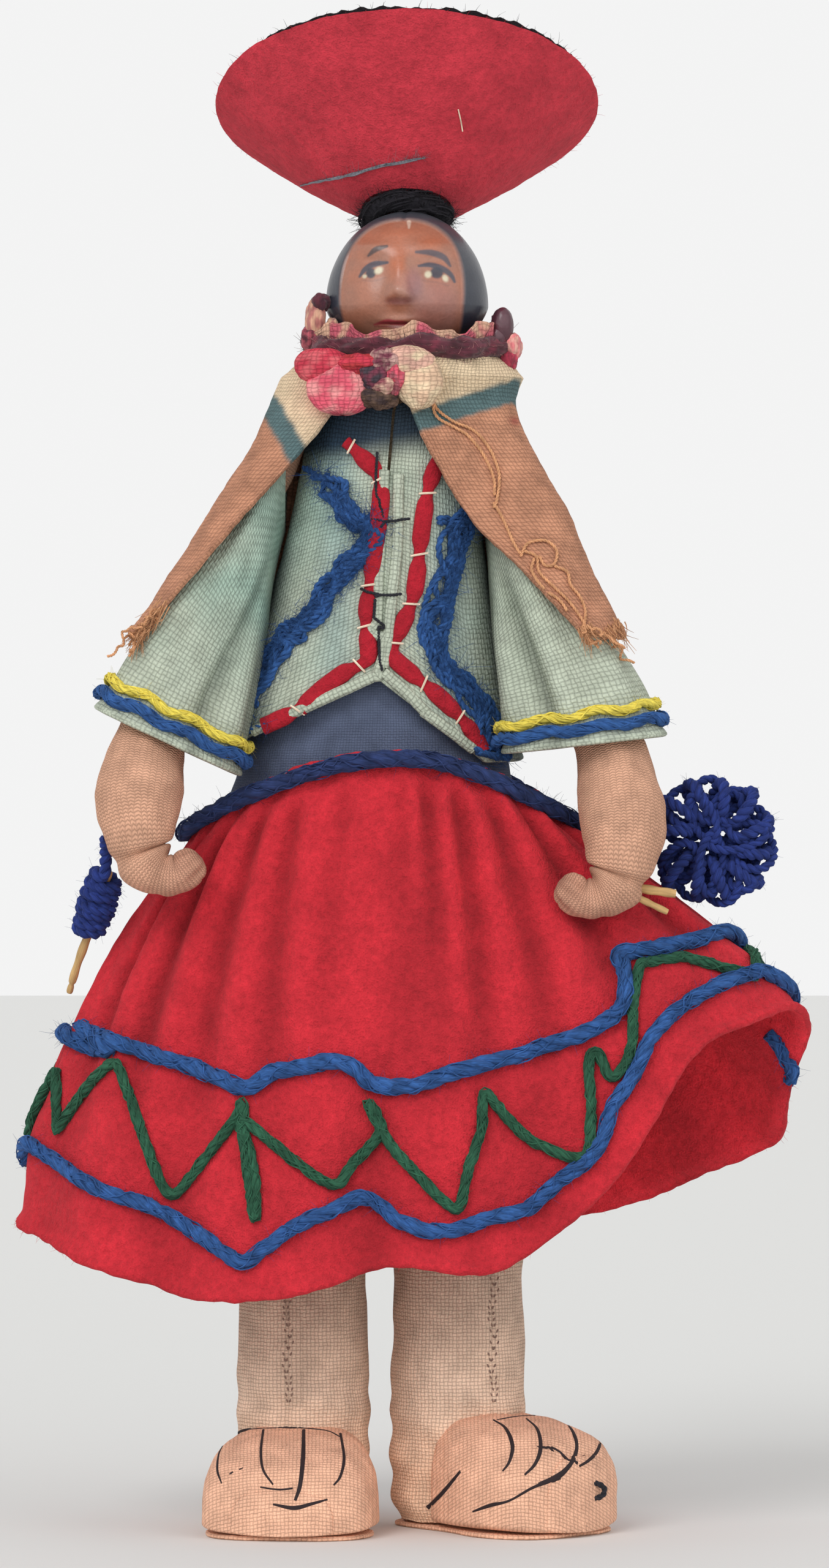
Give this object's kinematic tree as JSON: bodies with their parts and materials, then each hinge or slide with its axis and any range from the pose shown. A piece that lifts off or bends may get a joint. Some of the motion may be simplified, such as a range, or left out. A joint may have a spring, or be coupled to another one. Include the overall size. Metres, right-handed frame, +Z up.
{
  "type": "cloth doll",
  "caption": "Stuffed cloth doll of a highland woman spinning wool, with a dished felt hat, jacket, shawl, flared skirt and movable head, arms and legs.",
  "frame": {"origin": "middle of the bounding box, on the floor that the soles stand on", "axes": "+Z up from the soles to the hat, -Y the way the doll faces, +X the doll's left hand"},
  "size_m": [0.132, 0.0792, 0.2498],
  "materials": {
    "muslin": "plain woven cotton, pinkish beige",
    "knit": "knitted stocking, tan",
    "wood": "bare twig",
    "wire": "plain",
    "painted_head": "painted and varnished composition",
    "hat_felt": "red felt",
    "black_wool": "black felt and wool",
    "bodice_cloth": "grey-blue woven",
    "sage_cloth": "sage green woven",
    "trim_felt": "red felt",
    "blue_yarn": "blue wool yarn",
    "navy_yarn": "dark blue wool yarn",
    "yellow_yarn": "yellow wool yarn",
    "green_yarn": "green wool yarn",
    "shawl_cloth": "tan woven with cream and teal bands",
    "maroon_yarn": "dark maroon wool",
    "skirt_felt": "red felt"
  },
  "bodies": {
    "body": {"torso": "muslin", "neck_peg": "wood", "bodice": "bodice_cloth", "jacket": "sage_cloth", "front_felt_right": "trim_felt", "front_felt_left": "trim_felt", "front_yarn_right": "blue_yarn", "front_yarn_left": "blue_yarn", "shawl": "shawl_cloth", "shawl_neck_roll": "maroon_yarn", "skirt": "skirt_felt", "skirt_yarn_upper": "blue_yarn", "skirt_yarn_lower": "blue_yarn", "skirt_zigzag": "green_yarn", "waist_yarn": "navy_yarn"},
    "head": {"head": "painted_head", "hat_pad": "black_wool", "hat_felt": "hat_felt", "hat_lining": "black_wool"},
    "right_arm": {"arm_right": "knit", "arm_wire_right": "wire", "sleeve_right": "sage_cloth", "cuff_yellow_right": "yellow_yarn", "cuff_blue_right": "blue_yarn"},
    "left_arm": {"arm_left": "knit", "arm_wire_left": "wire", "sleeve_left": "sage_cloth", "cuff_yellow_left": "yellow_yarn", "cuff_blue_left": "blue_yarn", "hank": "navy_yarn", "hank_twig": "wood"},
    "spindle": {"spindle_stick": "wood", "spindle_yarn": "navy_yarn"},
    "right_leg": {"leg_right": "muslin", "foot_right": "muslin", "sole_right": "muslin"},
    "left_leg": {"leg_left": "muslin", "foot_left": "muslin", "sole_left": "muslin"}
  },
  "joints": [
    {"name": "head_turn", "type": "hinge", "parent": "body", "child": "head", "pos_m": [-0.00016, -0.00266, 0.1935], "axis": [0, 0, 1], "range_deg": [-35, 35]},
    {"name": "right_shoulder", "type": "hinge", "parent": "body", "child": "right_arm", "pos_m": [-0.01589, -0.00266, 0.181], "axis": [-1, 0, 0], "range_deg": [0, 60], "deforming": ["shawl"]},
    {"name": "left_shoulder", "type": "hinge", "parent": "body", "child": "left_arm", "pos_m": [0.01025, -0.00266, 0.181], "axis": [-1, 0, 0], "range_deg": [0, 60], "deforming": ["shawl"]},
    {"name": "spindle_swing", "type": "hinge", "parent": "right_arm", "child": "spindle", "pos_m": [-0.04942, -0.01949, 0.11454], "axis": [0, 1, 0], "range_deg": [0, 35]},
    {"name": "right_hip", "type": "hinge", "parent": "body", "child": "right_leg", "pos_m": [-0.01736, -0.00266, 0.09], "axis": [-1, 0, 0], "range_deg": [-20, 20]},
    {"name": "left_hip", "type": "hinge", "parent": "body", "child": "left_leg", "pos_m": [0.00834, -0.00266, 0.09], "axis": [-1, 0, 0], "range_deg": [-20, 20]}
  ]
}
